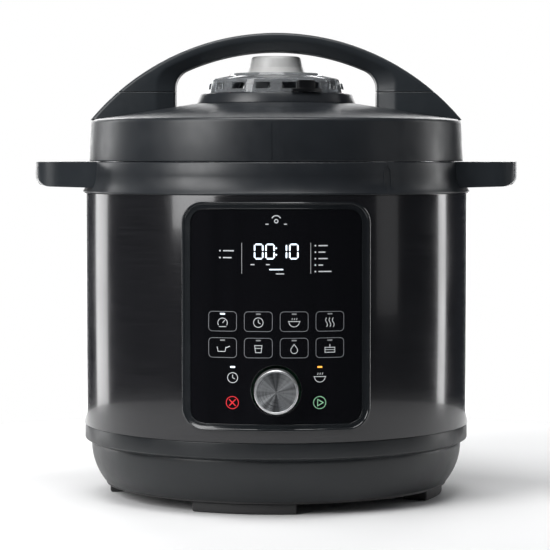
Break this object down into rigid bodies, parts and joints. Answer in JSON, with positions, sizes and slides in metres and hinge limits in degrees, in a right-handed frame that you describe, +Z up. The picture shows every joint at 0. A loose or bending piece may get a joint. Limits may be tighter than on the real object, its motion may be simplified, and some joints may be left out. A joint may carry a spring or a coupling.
{
  "type": "electric pressure cooker",
  "caption": "Round electric pressure cooker with an arched lid handle, side grips, front touch panel and dial; its lid turns to lock and its pot lifts out.",
  "frame": {"origin": "on the worktop at the centre of the four feet, on the upright axis of the round body", "axes": "+X towards the right-hand grip seen from the front, +Y towards the back, +Z up; the control panel faces -Y"},
  "size_m": [0.338, 0.3108, 0.3227],
  "materials": {
    "charcoal_shell": "fine satin moulded plastic, charcoal with a cool tint",
    "charcoal_grip": "fine satin moulded plastic, slightly worn by hands",
    "cover_plastic": "textured black plastic",
    "foot_rubber": "matt soft rubber",
    "zinc_screw": "zinc plated steel",
    "black_steel": "glossy black coated stainless steel",
    "pot_steel": "spun stainless steel, circular brushing",
    "housing_metal": "drawn aluminium",
    "plate_metal": "cast and turned aluminium",
    "element_metal": "oxidised steel sheath",
    "spring_steel": "bright drawn spring wire",
    "bracket_steel": "pressed zinc coated steel",
    "switch_plastic": "matt phenolic",
    "fuse_ceramic": "glazed ceramic sleeve",
    "bezel_gloss": "dark glossy moulded plastic",
    "fascia_gloss": "gloss black printed window",
    "display_dark": "segment display behind smoked window",
    "board_green": "glass fibre board with solder mask",
    "encoder_metal": "stamped can",
    "plunger_plastic": "natural acetal",
    "shaft_metal": "turned aluminium",
    "dial_metal": "bright turned edge",
    "dial_brushed": "radial brushed face",
    "inlet_black": "matt black nylon",
    "pin_brass": "plated brass",
    "cup_clear": "clear smoky moulded plastic",
    "seal_silicone": "translucent white silicone",
    "lid_steel": "pressed stainless steel",
    "magnet_dark": "nickel plated magnet",
    "vent_plastic": "satin black plastic",
    "diffuser_smoke": "smoky clear moulded plastic",
    "switch_black": "satin gloss black plastic",
    "valve_grey": "pale grey heat proof plastic",
    "float_red": "red coated pin",
    "cap_silicone": "clear silicone",
    "shield_steel": "pressed stainless steel",
    "print_white": "white screen print behind the window",
    "lamp_white": "lit white segment",
    "lamp_amber": "lit amber lamp",
    "print_red": "red screen print",
    "print_green": "green screen print"
  },
  "bodies": {
    "base": {"base_shell": "charcoal_shell", "bottom_cover": "cover_plastic", "feet": "foot_rubber", "cover_screws": "zinc_screw", "body_sleeve": "black_steel", "upper_housing": "charcoal_shell", "grip_left": "charcoal_grip", "grip_right": "charcoal_grip", "grip_screws": "zinc_screw", "locking_ring": "pot_steel", "outer_pot": "housing_metal", "pot_screws": "zinc_screw", "heater_plate": "plate_metal", "heating_element": "element_metal", "sensor_spring": "spring_steel", "sensor_bracket": "bracket_steel", "bracket_screws": "zinc_screw", "pressure_switch": "switch_plastic", "thermal_fuse": "fuse_ceramic", "control_bezel": "bezel_gloss", "control_fascia": "fascia_gloss", "display_module": "display_dark", "control_board": "board_green", "encoder_body": "encoder_metal", "power_board": "board_green", "power_inlet": "inlet_black", "inlet_pins": "pin_brass", "cup_holder": "charcoal_shell"},
    "temperature_sensor": {"temperature_sensor": "pot_steel"},
    "dial_push": {"dial_plunger": "plunger_plastic"},
    "dial": {"dial_shaft": "shaft_metal", "dial_knob": "dial_metal", "dial_face": "dial_brushed"},
    "condensation_cup": {"condensation_cup": "cup_clear"},
    "inner_pot": {"inner_pot": "pot_steel"},
    "seal": {"sealing_ring": "seal_silicone"},
    "lid": {"pressure_lid": "lid_steel", "seal_rack": "lid_steel", "lid_screws": "zinc_screw", "lid_cover": "charcoal_shell", "lid_magnet": "magnet_dark", "lid_handle": "charcoal_grip", "handle_leg_left": "charcoal_grip", "handle_leg_right": "charcoal_grip", "handle_screws": "zinc_screw", "vent_base": "vent_plastic", "diffuser_cover": "diffuser_smoke", "vent_pipe": "lid_steel", "vent_pipe_nut": "zinc_screw"},
    "release_switch": {"release_switch": "switch_black"},
    "steam_valve": {"steam_valve": "valve_grey"},
    "float_valve": {"float_valve": "float_red", "float_valve_cap": "cap_silicone"},
    "anti_block_shield": {"anti_block_shield": "shield_steel"}
  },
  "joints": [
    {"name": "inner_pot_lift", "type": "slide", "parent": "base", "child": "inner_pot", "axis": [0, 0, 1], "range_m": [0, 0.19]},
    {"name": "lid_lift", "type": "slide", "parent": "inner_pot", "child": "seal", "axis": [0, 0, 1], "range_m": [0, 0.12]},
    {"name": "lid_turn", "type": "hinge", "parent": "seal", "child": "lid", "pos_m": [0, 0, 0.24], "axis": [0, 0, 1], "range_deg": [-30, 0]},
    {"name": "release_switch_turn", "type": "hinge", "parent": "lid", "child": "release_switch", "pos_m": [0, 0, 0.28], "axis": [0, 0, 1], "range_deg": [-46, 0]},
    {"name": "steam_valve_lift", "type": "slide", "parent": "lid", "child": "steam_valve", "axis": [0, 0, 1], "range_m": [0, 0.002]},
    {"name": "float_valve_rise", "type": "slide", "parent": "lid", "child": "float_valve", "axis": [0, 0, 1], "range_m": [0, 0.005]},
    {"name": "shield_pull", "type": "slide", "parent": "lid", "child": "anti_block_shield", "axis": [0, 0, -1], "range_m": [0, 0.015]},
    {"name": "dial_press", "type": "slide", "parent": "base", "child": "dial_push", "axis": [0, 1, 0], "range_m": [0, 0.001], "stiffness_N_per_m": 1500, "springref_m": -0.001},
    {"name": "dial_turn", "type": "hinge", "parent": "dial_push", "child": "dial", "pos_m": [0, -0.14, 0.0843], "axis": [0, 1, 0], "continuous": true},
    {"name": "sensor_press", "type": "slide", "parent": "base", "child": "temperature_sensor", "axis": [0, 0, 1], "range_m": [-0.002, 0], "stiffness_N_per_m": 300, "springref_m": 0.003, "deforming": ["sensor_spring"]},
    {"name": "cup_pull", "type": "slide", "parent": "base", "child": "condensation_cup", "axis": [0, 1, 0], "range_m": [0, 0.06]}
  ],
  "couplings": [
    {"joint": "release_switch_turn", "follows": "steam_valve_lift", "rad_per_m": -400}
  ]
}
